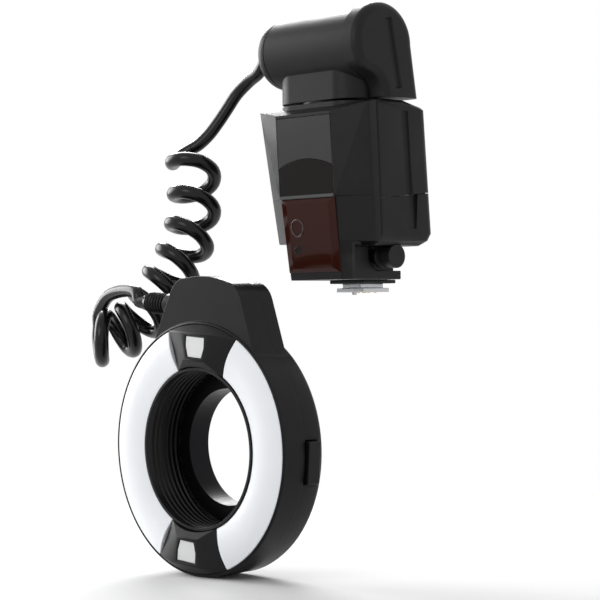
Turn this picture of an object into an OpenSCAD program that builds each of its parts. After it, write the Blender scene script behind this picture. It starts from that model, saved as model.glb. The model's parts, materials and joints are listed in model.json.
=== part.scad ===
// Macro ring flash: a control unit for a camera's hot shoe, a curly cord and a ring-shaped flash head.
// Millimetres. Origin at the centre of the shoe foot's underside, +Z up, the lens looks along -Y.

/* [Control unit] */
// Width of the battery box
box_w = 75; // [72:0.5:80]
// Height of the top deck above the underside of the foot
deck_z = 87; // [85:0.5:92]
// Height of the underside of the battery box
box_z = 22; // [21:0.5:24]
// Plane where the nose meets the battery box, at the deck
split_y = -27; // [-28:0.5:-26.5]
// Plane where the nose meets the battery box, at the underside of the box
split_low_y = -20.5; // [-21.5:0.5:-20]
// Rear face of the battery box at the deck
rear_top_y = 8; // [7:0.5:9]
// Rear face of the battery box at its underside
rear_low_y = 17; // [16:0.5:18]
// Narrowing of the battery box towards its underside, each side
box_taper = 4; // [3:0.25:4.5]
// Rise of the deck from the edge of the panel to its highest line
crown = 4; // [3.5:0.1:4]
// Radius of the upright rear edges of the battery box
box_r = 5; // [3:0.5:7]
// Wall thickness of the moulded shells
wall = 2; // [1.6:0.1:2.4]
// Width of the flat front panel
panel_w = 37.4; // [35:0.2:39]
// Front panel at the edge of the deck
panel_y = -39.8; // [-42:0.2:-39]
// Lean of the front panel away from upright, in degrees
panel_lean = 3.5; // [2.5:0.25:4.5]
// Outer corner of the swept cheeks at the deck, front to back
cheek_y = -33.4; // [-34:0.1:-32.5]
// Outer corner of the swept cheeks at their underside, from the middle
cheek_low_x = 33.4; // [33:0.1:33.5]
// Outer corner of the swept cheeks at their underside, front to back
cheek_low_y = -25.4; // [-26:0.1:-25]
// Half width of the nose at its underside
nose_low_x = 20.5; // [20:0.25:22]
// Height of the underside of the nose
nose_z = 6; // [5.5:0.1:7]
// Height of the seam between the dark window and the red window
bar_z = 45.5; // [44:0.5:48]
// Thickness of the name panel and of the dark window
panel_t = 1.4; // [1:0.1:1.8]

/* [Red window] */
// How far the red window stands in front of the lower nose
lens_step = 1; // [0.8:0.1:1.5]
// How much further back the red window's foot lies at its lower end
lens_fall = 2.2; // [1.8:0.1:2.6]
// Half width of the red window's flat face at its top
lens_x = 16.6; // [16:0.1:17]
// Half width of the red window's foot at its top
lens_foot_x = 18.6; // [18:0.1:18.6]
// Narrowing of the red window towards the bottom, each side
lens_taper = 0.8; // [0.5:0.1:2]

/* [Foot and lock] */
// Width of the shoe foot's rails
foot_w = 18.6; // [18.4:0.05:18.6]
// Length of the shoe foot's rails
foot_l = 18; // [17:0.5:19]
// Thickness of the shoe foot's rails
foot_t = 2; // [1.9:0.05:2]
// Width of the stem between rails and collar
stem_w = 12.4; // [12:0.1:12.5]
// Height where the stem meets the collar
stem_z = 4.2; // [4:0.1:4.5]
// Side of the square collar under the base
collar_side = 23; // [21:0.5:26]
// Half width of the base under the battery box
base_x = 20; // [19.5:0.25:20.5]
// Front face of the base
base_front_y = -25; // [-26:0.25:-24.5]
// Rear face of the base
base_y = 6.5; // [5:0.5:9]
// Radius of the lock button's head
lock_r = 5.8; // [5:0.1:6]
// Middle of the lock button and of the lock pin, front to back
lock_y = -6; // [-7:0.25:-5]
// Height of the lock button's axis
lock_z = 17; // [16.8:0.1:17.6]
// Outer face of the lock button
lock_x = 29.5; // [28:0.5:30]
// Travel of the lock button
lock_travel = 2.5; // [2:0.1:3]
// Radius of the lock pin
pin_r = 1.3; // [1.1:0.05:1.4]

/* [Head] */
// Height of the tilt axis above the neck's underside
neck_rise = 25.7; // [24.2:0.1:29.2]
// Tilt axis, front to back
head_y = -21.5; // [-22.5:0.5:-20.5]
// Radius of the drum between the ears
drum_r = 17.3; // [16.5:0.1:18]
// Radius of the right ear round the tilt axis
ear_r = 19.5; // [18.8:0.1:21]
// Thickness of the right ear
ear_t = 10.2; // [9.8:0.1:12]
// Rear lower corner of the ears
tail_y = 2; // [1:0.25:4]
// How much shorter the left ear is than the right one
left_short = 2.5; // [1.5:0.1:2.6]
// Rounding of the left ear's end
left_edge = 7; // [5:0.25:7.5]
// Width of the neck under the drum
neck_w = 56; // [52:0.5:58]
// Depth of the neck, front to back
neck_d = 28; // [26:0.5:29]
// Radius of the neck's upright corners
neck_r = 13.5; // [11:0.25:14]
// Swivel axis, front to back
neck_y = -20; // [-21:0.5:-19.5]
// Height of the collar on the deck
top_collar_h = 4; // [3:0.25:5]
// Open seam between the collar and the neck
seam = 0.8; // [0.6:0.1:1]
// Radius of the swivel spigot
spigot_r = 11; // [10:0.5:12]
// Radius of the tilt pivots
pivot_r = 7; // [6:0.25:8]

/* [Battery door and rear panel] */
// Height of the battery door's upper edge
door_z = 44; // [40:0.5:46]
// Width of the display window
lcd_w = 46; // [40:0.5:50]
// Height of the display window
lcd_h = 26; // [22:0.5:26]
// Width of a rear key
key_w = 9; // [7:0.25:10]
// Height of a rear key
key_h = 5; // [4:0.25:6]
// Distance between the middles of two keys
key_pitch = 13; // [12:0.25:14]
// Travel of the keys
key_travel = 0.8; // [0.6:0.05:0.8]
// Radius of the test button
test_r = 4; // [3:0.1:4.5]

/* [Ring head] */
// Front rim of the ring head, front to back
ring_y = -108.6; // [-114:0.2:-106]
// Height of the ring's axis
ring_z = -71.3; // [-74:0.1:-69]
// Turn of the ring head about the lens axis, in degrees
ring_turn = 4.5; // [0:0.5:8]
// Width of the ring's face, from the bore to the rim
face_w = 21.8; // [21.2:0.1:23.4]
// Width of the rim round the diffusers
rim_w = 1.3; // [1.1:0.1:1.9]
// Step from the adapter's rim out to the bore of the ring head
bore_step = 2.3; // [1.6:0.1:2.4]
// Wall of the ribbed bore sleeve
sleeve_t = 0.8; // [0.7:0.05:1]
// Depth of the front shell, from the rim to the seam
front_d = 13; // [12.5:0.25:14]
// Depth of the whole ring head
ring_d = 26; // [25.5:0.25:27.5]
// Half angle that a lamp bezel covers, in degrees
bezel_half = 24; // [22:0.5:26]
// Height of the lamp bezels in front of the rim
bezel_rise = 4.2; // [3:0.2:5]
// Crown of the diffusers
glow_crown = 1.8; // [1:0.1:2.5]
// Top of the hood above the ring's rim
hood_rise = 20.7; // [18.7:0.5:23.7]
// Rise of the arch along the hood's top
hood_arch = 1.5; // [1:0.25:2]
// Half width of the hood where it leaves the ring
hood_low_x = 35.5; // [34:0.5:37]
// Half width of the hood at its upper corners
hood_top_x = 25.5; // [24:0.5:27]
// Radius of the hood's upper corners
hood_r = 12; // [10:0.5:13]
// Width of a lamp window
lamp_w = 12.6; // [11:0.2:13.4]
// Height of a lamp window
lamp_h = 9.4; // [8:0.2:10]
// Height of a release button
release_h = 19; // [16:0.5:20]
// Thickness of a release button
release_t = 7; // [6:0.25:7.4]
// Travel of the release buttons
release_travel = 2.2; // [2:0.1:2.4]

/* [Lens adapter] */
// Step from the lens thread out to the adapter's rim
adapter_step = 5.2; // [4.6:0.1:5.6]
// Wall of the adapter round its clear hole
adapter_wall = 2; // [1.6:0.1:4]
// Radius of the male lens thread
thread_r = 29; // [28.4:0.1:30]
// Length of the male lens thread
thread_l = 4; // [3:0.25:5]

/* [Cord] */
// Diameter of the straight lead
lead_d = 6.2; // [5.6:0.1:6.6]
// Diameter of the curly part
curl_d = 7; // [6.2:0.1:7.2]
// Radius of the curls at the middle of the cord
curl_r = 10.5; // [9.5:0.1:10.8]
// Number of curls
curls = 8; // [7:1:9]
// Length of the strain relief outside the hood
boot_l = 22; // [18:0.5:24]

/* [Clearances] */
// Gap round parts that slide or turn without a bearing
gap = 0.3; // [0.3:0.05:0.4]
// Running clearance of a shaft in its bore, on the radius
run = 0.05; // [0.03:0.01:0.1]

/* [Hidden] */
$fn = 64;
skin = 0.01;

box_x = box_w / 2;
rear_lean = atan((rear_low_y - rear_top_y) / (deck_z - box_z));
split_lean = atan((split_low_y - split_y) / (deck_z - box_z));
knee_z = box_z + 2;
knee_lap = 3.3;
panel_drop = 1.3;
neck_z = deck_z + top_collar_h + seam;
head_z = neck_z + neck_rise;
ear_in = neck_w / 2 + gap;
ear_x = ear_in + ear_t;
left_x = ear_x - left_short;
bar_drop = deck_z - bar_z;
door_in = 7;
door_x = box_x - door_in;
adapter_r = thread_r + adapter_step;
adapter_bore_r = thread_r - adapter_wall;
bore_r = adapter_r + bore_step;
sleeve_r = bore_r + sleeve_t;
ring_r = bore_r + face_w;
glow_r = ring_r - rim_w;
hood_top = ring_r + hood_rise;
hood_low_y = ring_r - 13.3;
strain_y = hood_top - 15;
strain_z = -7.6;
strain_r = 5;
strain_in = hood_top_x - 1.5;
strain_tip_x = strain_in + boot_l + 2.4;
floor_t = 1.6;
latch_t = 1;
latch_z = -20.6;
latch_step = 1.6;
latch_r = adapter_r + 9.3;
release_drop = 0.4;
groove_r = adapter_r - 1.8;
adapter_front = -18.8;
sleeve_back = adapter_front + 0.4;
shell_seat = -front_d + floor_t;
gland_l = 6;
key_drop = 44;
switch_drop = 56;

// Route of the straight lead, from the gland to the curls
lead_route = [[-left_x - gland_l, head_y, head_z], [-left_x - gland_l - 2.5, head_y, head_z],
    [-50.5, -20.8, head_z - lead_d], [-58.6, -20.5, 107.5], [-65.9, -22.5, 101.4], [-70, -25, 94.7],
    [-73.5, -28, 88], [-77.3, -31.5, 81.3], [-81.2, -34.8, 76.6], [-84, -37, 74.5]];
// Middle line that the curls wind round
curl_axis = [[-82, -39, 90.5], [-79, -42, 73], [-72, -46.5, 53], [-67, -53, 33.5],
    [-67, -61, 16.5], [-70, -70, 2.5], [-72, -79, -9.5], [-78, -89.5, -18.5], [-88.5, -99.5, -22],
    [-100.5, -110, -24.5]];
// Route of the tail over the last curls, to the strain relief
tail_route = [[-95, -90, -15], [-94, -90.5, -8.5], [-82, -94, -0.5], [-66, -97, 2],
    [-52.5, -100, 1]];

function unit(v) = v / norm(v);
function front_y(z) = panel_y + (deck_z - z) * tan(panel_lean);
function rear_y(z) = rear_top_y + (deck_z - z) * tan(rear_lean);
function split_at(z) = split_y + (deck_z - z) * tan(split_lean);
function side_x(z) = box_x - box_taper * (deck_z - z) / (deck_z - box_z);
function cheek_at(z) = let (u = (deck_z - z) / (deck_z - knee_z))
    [box_x + u * (cheek_low_x - box_x), cheek_y + u * (cheek_low_y - cheek_y)];
function step_at(z) = lens_step + lens_fall * (bar_z - z) / (bar_z - nose_z);
function foot_half(z) = lens_foot_x - lens_taper * (bar_z - z) / (bar_z - nose_z);
function ring_point(p) = [p.x * cos(ring_turn) + p.y * sin(ring_turn), ring_y - p.z,
    ring_z - p.x * sin(ring_turn) + p.y * cos(ring_turn)];

// Tube along a list of points, with square ends
function tangent(p, i) = unit(p[min(i + 1, len(p) - 1)] - p[max(i - 1, 0)]);
function across(n, t) = unit(n - (n * t) * t);
function carry(p, n, i) = i == 0 ? [across(n, tangent(p, 0))]
    : let (before = carry(p, n, i - 1)) concat(before, [across(before[i - 1], tangent(p, i))]);
module tube(path, d, sides) {
    count = len(path);
    normals = carry(path, [0.3, 0.2, 0.93], count - 1);
    points = [for (i = [0 : count - 1], k = [0 : sides - 1])
        let (t = tangent(path, i), n = normals[i], b = cross(t, n), a = 360 * k / sides)
        path[i] + d / 2 * (n * cos(a) + b * sin(a))];
    walls = [for (i = [0 : count - 2], k = [0 : sides - 1])
        let (a = i * sides + k, b = i * sides + (k + 1) % sides)
        each [[a, a + sides, b], [b, a + sides, b + sides]]];
    caps = [for (k = [1 : sides - 2]) each [[0, k, k + 1],
        [(count - 1) * sides, (count - 1) * sides + k + 1, (count - 1) * sides + k]]];
    polyhedron(points, concat(walls, caps));
}

// Smooth middle line through the curl axis points, and the helix round it
function spline(p, s) = let (i = min(floor(s), len(p) - 4), u = s - i)
    0.5 * (2 * p[i + 1] + (p[i + 2] - p[i]) * u
    + (2 * p[i] - 5 * p[i + 1] + 4 * p[i + 2] - p[i + 3]) * u * u
    + (3 * p[i + 1] - p[i] - 3 * p[i + 2] + p[i + 3]) * u * u * u);
curl_spans = len(curl_axis) - 3;
curl_start = 20;
away = unit([-0.726, 0.688, 0]);
function curl_point(f) = let (s = f * curl_spans, c = spline(curl_axis, s),
    t = unit(spline(curl_axis, s + 0.01) - spline(curl_axis, s - 0.01)),
    n = across(away, t), b = cross(t, n), a = curl_start - (360 * curls + curl_start) * f)
    c + curl_r * (n * cos(a) + b * sin(a));
curl_rings = 8 * curls;
lead_end = lead_route[len(lead_route) - 1];
lead_way = unit(lead_end - lead_route[len(lead_route) - 2]);
tail_start = tail_route[0];
tail_way = unit(tail_route[1] - tail_route[0]);
curl_path = concat([lead_end, lead_end + curl_d * lead_way],
    [for (i = [2 : curl_rings - 1]) curl_point(i / curl_rings)],
    [tail_start - curl_d * tail_way, tail_start]);
curl_gap = min([for (i = [0 : len(curl_path) - 1], j = [0 : len(curl_path) - 1])
    if (j - i > 4) norm(curl_path[i] - curl_path[j])]) - curl_d;
strain_tip = ring_point([-strain_tip_x, strain_y, strain_z]);
strain_way = ring_point([-1, 0, 0]) - ring_point([0, 0, 0]);
tail_path = concat(tail_route, [strain_tip + lead_d * strain_way, strain_tip]);

// Placing frames: on the leaning front panel, on the leaning rear face, and in the ring head
module on_front() translate([0, panel_y, deck_z]) rotate([90 + panel_lean, 0, 0]) children();
module on_rear() translate([0, rear_top_y, deck_z]) rotate([0, 0, 180]) rotate([90 - rear_lean, 0, 0])
    children();
module leaned() translate([0, split_low_y, box_z]) rotate([split_lean, 0, 0]) children();
module in_ring() translate([0, ring_y, ring_z]) rotate([0, ring_turn, 0]) rotate([90, 0, 0]) children();
module along_x(x, y, z) translate([x, y, z]) rotate([0, 90, 0]) children();

module rounded(w, d, r) {
    square([w - 2 * r, d], center = true);
    square([w, d - 2 * r], center = true);
    for (sx = [-1, 1], sy = [-1, 1]) translate([sx * (w / 2 - r), sy * (d / 2 - r)]) circle(r);
}
module post(x, y, z, r) translate([x, y, z - skin]) cylinder(r = r, h = skin, $fn = 32);

// Shoe foot, its contacts and collar
contact_r = 0.75;
contact_spots = [[0, 0], [-3.5, 0.5], [3.5, 0.5], [-3.5, 5], [3.5, 5]];
module shoe_foot() color("dimgray") difference() {
    union() {
        translate([-foot_w / 2, -foot_l / 2, 0]) cube([foot_w, foot_l, foot_t]);
        translate([-stem_w / 2, -foot_l / 2 + 1, 0]) cube([stem_w, foot_l - 2, stem_z]);
    }
    foot_holes(stem_z);
}
module foot_holes(top) {
    for (p = contact_spots) translate([p.x, p.y, -1]) cylinder(r = contact_r + 0.02, h = top + 2);
    translate([0, lock_y, -1]) cylinder(r = pin_r + run, h = top + 2);
}
module shoe_contacts() color("gold") for (p = contact_spots)
    translate([p.x, p.y, -0.3]) cylinder(r = contact_r, h = nose_z + 0.3);
module shoe_collar() color([0.08, 0.08, 0.08]) difference() {
    translate([-collar_side / 2, -collar_side / 2, stem_z])
        cube([collar_side, collar_side, nose_z - stem_z]);
    foot_holes(nose_z);
}

// Lock pin, lifted by the ramp on the lock button
ramp_z = nose_z + 6;
pin_head_r = 2.6;
lift = 0.8;
module lock_pin() color("silver") {
    translate([0, lock_y, -1.3]) cylinder(r = pin_r, h = ramp_z + 1.4);
    translate([0, lock_y, ramp_z]) cylinder(r = pin_head_r, h = 1.5);
}
notch_x = 15;
head_in = notch_x + lock_travel + 1;
stem_r = 3;
module lock_button() color([0.1, 0.1, 0.1]) {
    difference() {
        along_x(head_in, lock_y, lock_z) cylinder(r = lock_r, h = lock_x - head_in);
        along_x(head_in + 2, lock_y, lock_z) difference() {
            cylinder(r = lock_r + 1, h = 2.5);
            translate([0, 0, -1]) cylinder(r = lock_r - 1.2, h = 5);
        }
    }
    along_x(pin_head_r + 4, lock_y, lock_z) cylinder(r = stem_r, h = head_in - pin_head_r - 3.5);
    for (side = [-1, 1]) translate([0, lock_y + side * (pin_r + 0.9) + 0.45, 0]) rotate([90, 0, 0])
        linear_extrude(0.9) polygon([[0, ramp_z - 2.8], [pin_head_r, ramp_z - 0.1],
            [pin_head_r + 4, ramp_z - 0.1 + 4 * lift], [notch_x - wall - lock_travel, lock_z],
            [notch_x - wall - lock_travel, ramp_z - 2.8]]);
}
module base_cover() color([0.1, 0.1, 0.1]) difference() {
    translate([-base_x, base_front_y, nose_z]) cube([2 * base_x, base_y - base_front_y, box_z - nose_z]);
    translate([-base_x + wall, base_front_y + wall, nose_z + wall])
        cube([notch_x + base_x - 2 * wall, base_y - base_front_y - 2 * wall, box_z]);
    along_x(notch_x, lock_y - 3, lock_z) cylinder(r = lock_r + 1, h = base_x);
    translate([notch_x, lock_y - 3, lock_z - lock_r - 1]) cube([base_x, 40, box_z]);
    translate([notch_x, lock_y - lock_r - 4, lock_z]) cube([base_x, 40, box_z]);
    along_x(notch_x - 2 * wall, lock_y, lock_z) cylinder(r = stem_r + run, h = 3 * wall);
    foot_holes(nose_z + wall);
}

// Nose: upper part behind the panel, swept cheeks beside the red window, lower part behind it
module nose_sides(z, inset, rise_in, rise_out) for (s = [-1, 1]) {
    c = cheek_at(z);
    post(s * (c.x - 1.5 - inset), c.y + 1.5 + inset, z + rise_in, 1.5);
    post(s * (side_x(z) - 1 - inset), split_at(z) + 1, z + rise_out, 1);
}
module nose_front(z, half, step, inset) for (s = [-1, 1])
    post(s * (half - inset), front_y(z) + step + 1 + inset, z, 1);
module nose(inset, top, knee, low) {
    rise = inset == 0 ? crown : 0;
    hull() {
        nose_front(top - (inset == 0 ? panel_drop : 0), panel_w / 2, 0, inset);
        nose_sides(top, inset, rise / 2, rise - 0.5);
        nose_front(bar_z, panel_w / 2, 0, inset);
        nose_sides(bar_z, inset, 0, 0);
    }
    hull() for (z = [bar_z, knee]) {
        nose_front(z, foot_half(z) - 0.6, step_at(z), inset);
        nose_sides(z, inset, 0, 0);
    }
    hull() for (z = [knee + knee_lap, low]) {
        nose_front(z, foot_half(z) - 0.6, step_at(z), inset);
        for (s = [-1, 1], y = [cheek_low_y - 2, base_front_y + 4])
            post(s * (nose_low_x - 1 - inset), y, z, 1);
    }
}
module front_shell() color([0.12, 0.12, 0.13]) difference() {
    nose(0, deck_z, knee_z, nose_z + skin);
    nose(wall, deck_z - wall, knee_z + wall, nose_z + wall);
    leaned() translate([-box_w, -skin, -box_z]) cube([2 * box_w, box_w, 2 * deck_z]);
    translate([-box_w, base_front_y, -box_z]) cube([2 * box_w, box_w, 2 * box_z]);
    collar_pocket();
    on_front() translate([-panel_w / 2, -bar_drop + 1.3, -panel_t]) cube([panel_w, bar_drop - 4.1, 9]);
    on_front() translate([-13, -bar_drop - 30, -20]) cube([26, 24, 20]);
    on_front() translate([-8, -bar_drop + 4, -20]) cube([16, 9, 20]);
    bar_block(0.05);
    translate([0, neck_y, deck_z - 10]) cylinder(r = spigot_r + 2.5, h = 20);
}
module collar_pocket() translate([0, 0, deck_z]) linear_extrude(2 * crown) neck_area();
arch_r = 48;
arch_drop = 23;
module arch(grow) translate([0, -arch_drop - arch_r]) circle(arch_r + grow, $fn = 128);
module panel_area(low, high) translate([-panel_w / 2 + 0.1, -low]) square([panel_w - 0.2, low - high]);
module name_panel() color([0.2, 0.2, 0.21]) on_front() translate([0, 0, -panel_t])
    linear_extrude(panel_t) difference() {
        panel_area(arch_drop + 6, 2.9);
        arch(0.1);
    }
module dark_window() color([0.06, 0.05, 0.05]) on_front() translate([0, 0, -panel_t])
    linear_extrude(panel_t) intersection() {
        panel_area(bar_drop - 1.4, arch_drop - 1);
        arch(0);
    }
module bar_block(grow) on_front()
    translate([-lens_foot_x - grow, -bar_drop - 0.4 - grow, -lens_step - grow])
    cube([2 * (lens_foot_x + grow), 1.5 + 2 * grow, lens_step + 0.5 + grow]);
module trim_bar() color([0.3, 0.3, 0.3]) bar_block(0);
lens_drop = bar_drop + 0.6;
lens_low = deck_z - nose_z - 3.2;
module lens_plate(x, low_x, z, inset) translate([0, 0, z]) linear_extrude(skin) polygon([
    [-x + inset, -lens_drop - inset], [x - inset, -lens_drop - inset],
    [low_x - inset, -lens_low + inset], [-low_x + inset, -lens_low + inset]]);
lens_lean = atan(lens_fall / (lens_low - lens_drop));
module on_lens() on_front() translate([0, -lens_drop, 0]) rotate([lens_lean, 0, 0])
    translate([0, lens_drop, 0]) children();
module red_window() color([0.45, 0.05, 0.06]) on_lens() hull() {
    lens_plate(lens_foot_x, lens_foot_x - lens_taper, -lens_step + gap, 0);
    lens_plate(lens_foot_x, lens_foot_x - lens_taper, -gap, 0);
    lens_plate(lens_x, lens_x - lens_taper, lens_step / 2, 2.2);
}
lamp_seat = -lens_step - wall;
plate_t = 1.4;
module af_lamp() color("white") on_lens() translate([0, -bar_drop - 20, lamp_seat]) {
    translate([-9.3, 5.6, -1]) cylinder(r = 3.2, h = wall + 1);
    translate([-lens_x + 3, -8, -plate_t]) cube([2 * lens_x - 6, 19, plate_t]);
}
sensor_seat = -1.2 * wall - 0.02;
module light_sensor() color("black") on_front() translate([0, -bar_drop + 8.5, sensor_seat]) {
    translate([-4, 0, -1]) cylinder(r = 2.4, h = -sensor_seat - panel_t + 0.9);
    translate([-lens_x + 6, -7, -plate_t]) cube([2 * lens_x - 12, 14, plate_t]);
}

// Battery box, leaning back, with the door cut out of its right side
module box_row(y, r, inset, z, rise) for (s = [-1, 1])
    post(s * (side_x(z) - r - inset), y, z + rise, r);
module box(inset) hull() {
    levels = inset == 0 ? [[deck_z - 1.5, 0], [box_z + 6, 0], [box_z + 2.5, 1.3], [box_z + skin, 4.5]]
        : [[deck_z - inset, inset], [box_z + 5, inset], [box_z + inset, 4 + inset / 2]];
    for (l = levels) {
        box_row(split_at(l[0]) + 1.5 + inset, 1.5, l[1], l[0], 0);
        box_row(rear_y(l[0]) - box_r - l[1], box_r, l[1], l[0], 0);
    }
    if (inset == 0) for (l = [[0, 1.3], [1.2, 0]]) {
        box_row(split_at(deck_z + crown - 0.5 - l[1]) + 1.5, 1.5, l[0], deck_z, crown - 0.5 - l[1]);
        box_row(neck_y + neck_d / 2 - 3, 1.5, l[0], deck_z, crown - l[1]);
        box_row(rear_top_y - box_r - l[0], box_r, l[0], deck_z, 1.3 - l[1]);
    }
}
module door_block(grow) leaned() translate([door_x - grow, run - 4 * grow, -box_z])
    cube([box_w, box_w, door_z + grow]);
module key_hole(x, drop, w, h) translate([x - w / 2, -drop - h / 2, -9]) cube([w, h, 18]);
keys_x = [-1.5 * key_pitch, -0.5 * key_pitch, 0.5 * key_pitch, 1.5 * key_pitch];
switch_x = 17;
switch_w = 8;
switch_travel = 4;
screw_x = box_x - 8.5;
screw_spots = [[-screw_x, 6], [screw_x, 6], [-screw_x, 38], [screw_x, 38]];
screw_r = 1.2;
boss_d = 4.2;
groove_w = 4.6;
groove_d = 1.1;
module groove(high, low) hull() for (p = [high, low])
    translate([p.x - groove_d, p.y - groove_w / 2, p.z]) cube([3 * groove_d, groove_w, skin]);
module box_groove()
    groove([side_x(deck_z), neck_y + 12, deck_z - 1], [side_x(door_z), neck_y + 17.5, door_z + 2]);
module lock_relief() along_x(head_in - lock_travel - gap, lock_y, lock_z)
    cylinder(r = lock_r + gap, h = lock_x - head_in + lock_travel + 2 * gap);
module rear_shell() color([0.11, 0.11, 0.12]) difference() {
    union() {
        difference() {
            box(0);
            box(wall);
            for (s = [0, 1]) mirror([s, 0, 0]) box_groove();
        }
        on_rear() for (p = screw_spots) translate([p.x, -p.y, -boss_d]) cylinder(r = 2.2, h = boss_d - 1);
    }
    door_block(gap);
    collar_pocket();
    translate([0, neck_y, deck_z - 10]) cylinder(r = spigot_r + 2.5, h = 20);
    leaned() translate([-17, -1, -8]) cube([34, wall + 2, bar_z]);
    translate([-14, split_low_y + 3, box_z - 1]) cube([28, 20, wall + 3]);
    lock_relief();
    on_rear() {
        translate([-lcd_w / 2, -8 - lcd_h, -1.2]) cube([lcd_w, lcd_h, 5]);
        translate([-lcd_w / 2 + 2, -6 - lcd_h, -9]) cube([lcd_w - 4, lcd_h - 4, 12]);
        for (x = keys_x) key_hole(x, key_drop, key_w + 2 * gap, key_h + 2 * gap);
        key_hole(switch_x, switch_drop, switch_w + switch_travel + 2 * gap, key_h - 2 + 2 * gap);
        translate([-switch_x, -switch_drop, -9]) cylinder(r = test_r + run, h = 18);
        for (p = screw_spots) translate([p.x, -p.y, -10]) cylinder(r = screw_r + 0.02, h = 20);
        for (p = screw_spots) translate([p.x, -p.y, -1]) cylinder(r = 2.3, h = 20);
    }
}
module battery_door() color([0.1, 0.1, 0.11]) difference() {
    intersection() {
        box(0);
        door_block(0);
    }
    box(wall);
    translate([side_x(door_z) - 1.6, -3, door_z - 14]) cube([9, 6, 20]);
    lock_relief();
}
cell_r = 7.2;
cell_l = 50;
cell_z = wall + 3;
cell_gap = 0.2;
cell_pitch = 2 * (cell_r + cell_gap / 2);
cell_x = box_x - box_taper - wall - cell_r - cell_gap;
cell_y = wall + cell_r + 2 * cell_gap;
cell_spots = [for (x = [cell_x - cell_pitch, cell_x], y = [cell_y, cell_y + cell_pitch]) [x, y]];
module battery_cells() color("silver") leaned() for (p = cell_spots) translate([p.x, p.y, cell_z]) {
    cylinder(r = cell_r, h = cell_l - 1);
    cylinder(r = 2.7, h = cell_l);
}
tray_t = 1.2;
tray_gap = 0.1;
tray_w = 4 * cell_r + 0.5;
module battery_tray() color("dimgray") leaned()
    translate([cell_spots[0].x - cell_r - tray_gap - tray_t, cell_y - cell_r - tray_gap, cell_z]) {
    cube([tray_t, tray_w, cell_l]);
    translate([0, 0, cell_l]) cube([tray_w + tray_t - 1, tray_w - 2, tray_t]);
}
board_t = 1.6;
board_x = 0.64 * box_x;
module main_board() color("darkgreen") translate([-board_x, split_y - board_t - 0.1, bar_z + 3])
    cube([2 * board_x, board_t, 0.82 * bar_drop]);
cap_r = 10.5;
module main_capacitor() color([0.1, 0.1, 0.25]) leaned()
    translate([-box_x + box_taper + wall + cap_r + gap, wall + cap_r + 0.6, cell_z])
    cylinder(r = cap_r, h = deck_z - box_z - cell_z - 14);
module lcd_window() color([0.35, 0.4, 0.36]) on_rear() {
    translate([-lcd_w / 2 + 0.1, -8 - lcd_h + 0.1, -1.2]) cube([lcd_w - 0.2, lcd_h - 0.2, 1.2]);
    translate([-lcd_w / 2 + 2.4, -5.8 - lcd_h, -wall - 0.6]) cube([lcd_w - 4.8, lcd_h - 4.4, wall]);
}
board_z = -wall;
key_rise = 1.15;
key_back = board_z + key_travel + 0.15;
board_half = screw_x - 2 * wall;
module display_board() color("darkgreen") on_rear()
    translate([-board_half, -switch_drop - 4, board_z - board_t])
    cube([2 * board_half, switch_drop - 5 - lcd_h, board_t]);
module key_body(x) on_rear() translate([x - key_w / 2, -key_drop - key_h / 2, key_back])
    cube([key_w, key_h, key_rise - key_back]);
module mode_key() color([0.3, 0.3, 0.3]) key_body(keys_x[0]);
module minus_key() color([0.3, 0.3, 0.3]) key_body(keys_x[1]);
module plus_key() color([0.3, 0.3, 0.3]) key_body(keys_x[2]);
module lamp_key() color([0.3, 0.3, 0.3]) key_body(keys_x[3]);
module test_button() color([0.5, 0.1, 0.1]) on_rear()
    translate([-switch_x, -switch_drop, key_back]) cylinder(r = test_r, h = key_rise - key_back);
module power_switch() color([0.3, 0.3, 0.3]) on_rear()
    translate([switch_x - switch_travel / 2, -switch_drop - key_h / 2 + 1, 0]) {
        translate([-switch_w / 2, 0, board_z + gap]) cube([switch_w, key_h - 2, -board_z]);
        translate([-1, 0, 0]) cube([2, key_h - 2, 2.2]);
    }
module case_screws() color("black") on_rear() for (p = screw_spots)
    translate([p.x, -p.y, 0]) difference() {
    union() {
        translate([0, 0, -1]) cylinder(r = 2.2, h = 0.9);
        translate([0, 0, -boss_d]) cylinder(r = screw_r, h = boss_d - 0.5);
    }
    for (a = [0, 90]) rotate([0, 0, a]) translate([-1.4, -0.3, -0.6]) cube([2.8, 0.6, 1]);
}

// Swivel: collar on the deck, washer, retaining clip and the turret with its drum
module neck_area() translate([0, neck_y]) rounded(neck_w, neck_d, neck_r);
module top_collar() color([0.11, 0.11, 0.12]) difference() {
    translate([0, 0, deck_z]) linear_extrude(top_collar_h) neck_area();
    translate([0, neck_y, deck_z - 1]) cylinder(r = spigot_r + run, h = top_collar_h + 2);
}
module swivel_ring(r_in, r_out, z, h) translate([0, neck_y, z]) difference() {
    cylinder(r = r_out, h = h);
    translate([0, 0, -1]) cylinder(r = r_in, h = h + 2);
}
module swivel_washer() color("silver")
    swivel_ring(spigot_r + 0.2, spigot_r + 3, deck_z + top_collar_h, seam);
clip_z = deck_z - 1.2;
module swivel_clip() color("silver") swivel_ring(spigot_r - 1, spigot_r + 2, clip_z, 1);
module turret() color([0.14, 0.14, 0.15]) difference() {
    union() {
        translate([0, 0, neck_z]) linear_extrude(head_z - 2 - neck_z) neck_area();
        along_x(-neck_w / 2, head_y, head_z) cylinder(r = drum_r, h = neck_w, $fn = 128);
        translate([0, neck_y, clip_z - 2]) cylinder(r = spigot_r, h = neck_z - clip_z + 3);
    }
    swivel_ring(spigot_r - 1.02, spigot_r + 5, clip_z - 0.02, 1.04);
    translate([0, neck_y, clip_z - 3]) cylinder(r = spigot_r - 3, h = head_z - clip_z);
    along_x(-neck_w, head_y, head_z) cylinder(r = pivot_r + run, h = 2 * neck_w);
}

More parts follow.
